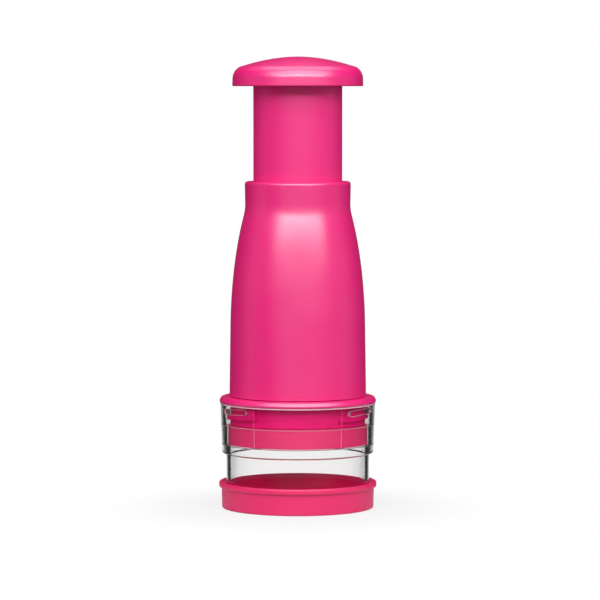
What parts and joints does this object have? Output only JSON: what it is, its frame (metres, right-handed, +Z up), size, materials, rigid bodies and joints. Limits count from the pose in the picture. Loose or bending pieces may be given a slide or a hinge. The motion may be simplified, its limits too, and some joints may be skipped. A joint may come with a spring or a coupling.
{
  "type": "vegetable chopper",
  "caption": "Press-down vegetable chopper: a domed knob on a sprung plunger drives and turns a zigzag blade in a clear bayonet cup that stands in a base cap.",
  "frame": {"origin": "on the axis, at the underside of the base cap", "axes": "+Z up along the plunger's axis; the side that the picture shows faces -Y"},
  "size_m": [0.085, 0.085, 0.243],
  "materials": {
    "base_pink": "glossy magenta pink",
    "cup_clear": "clear plastic",
    "housing_pink": "glossy magenta pink",
    "collar_pink": "glossy magenta pink",
    "ring_pink": "satin pale pink",
    "bush_white": "white bearing plastic",
    "frame_white": "white plastic",
    "nut_white": "white bearing plastic",
    "spring_steel": "spring steel",
    "nut_cap_white": "white plastic",
    "knob_pink": "glossy magenta pink",
    "tube_pink": "glossy magenta pink",
    "washer_steel": "bright steel",
    "spindle_white": "white bearing plastic",
    "screw_steel": "bright steel",
    "carrier_white": "white plastic",
    "blade_steel": "polished stainless steel",
    "pin_steel": "bright steel",
    "disc_pink": "satin pale pink"
  },
  "bodies": {
    "base": {"base_cap": "base_pink"},
    "cup": {"chopping_cup": "cup_clear"},
    "housing": {"housing_shell": "housing_pink", "bayonet_collar": "collar_pink", "wiper_ring": "ring_pink", "neck_bush": "bush_white", "guide_frame": "frame_white", "ratchet_nut": "nut_white", "nut_spring": "spring_steel", "nut_cap": "nut_cap_white", "return_spring": "spring_steel"},
    "plunger": {"knob": "knob_pink", "plunger_tube": "tube_pink", "spring_washer": "washer_steel", "thrust_washer": "washer_steel"},
    "blade_unit": {"helix_spindle": "spindle_white", "retaining_washer": "washer_steel", "spindle_screw": "screw_steel", "blade_carrier": "carrier_white", "zigzag_blade": "blade_steel", "carrier_pin": "pin_steel"},
    "wiper": {"wiper_disc": "disc_pink"}
  },
  "joints": [
    {"name": "cup_lift", "type": "slide", "parent": "base", "child": "cup", "axis": [0, 0, 1], "range_m": [0, 0.03]},
    {"name": "bayonet_twist", "type": "hinge", "parent": "cup", "child": "housing", "pos_m": [0, 0, 0.0534], "axis": [0, 0, 1], "range_deg": [0, 60]},
    {"name": "plunger_press", "type": "slide", "parent": "housing", "child": "plunger", "axis": [0, 0, -1], "range_m": [0, 0.0355], "stiffness_N_per_m": 600, "springref_m": -0.02, "deforming": ["return_spring"]},
    {"name": "blade_turn", "type": "hinge", "parent": "plunger", "child": "blade_unit", "pos_m": [0, 0, 0.19], "axis": [0, 0, 1], "range_deg": [-60, 0]},
    {"name": "wiper_turn", "type": "hinge", "parent": "housing", "child": "wiper", "pos_m": [0, 0, 0.0383], "axis": [0, 0, 1], "range_deg": [-60, 0]}
  ],
  "couplings": [
    {"joint": "blade_turn", "follows": "plunger_press", "rad_per_m": -29.224},
    {"joint": "wiper_turn", "follows": "plunger_press", "rad_per_m": -29.224}
  ]
}
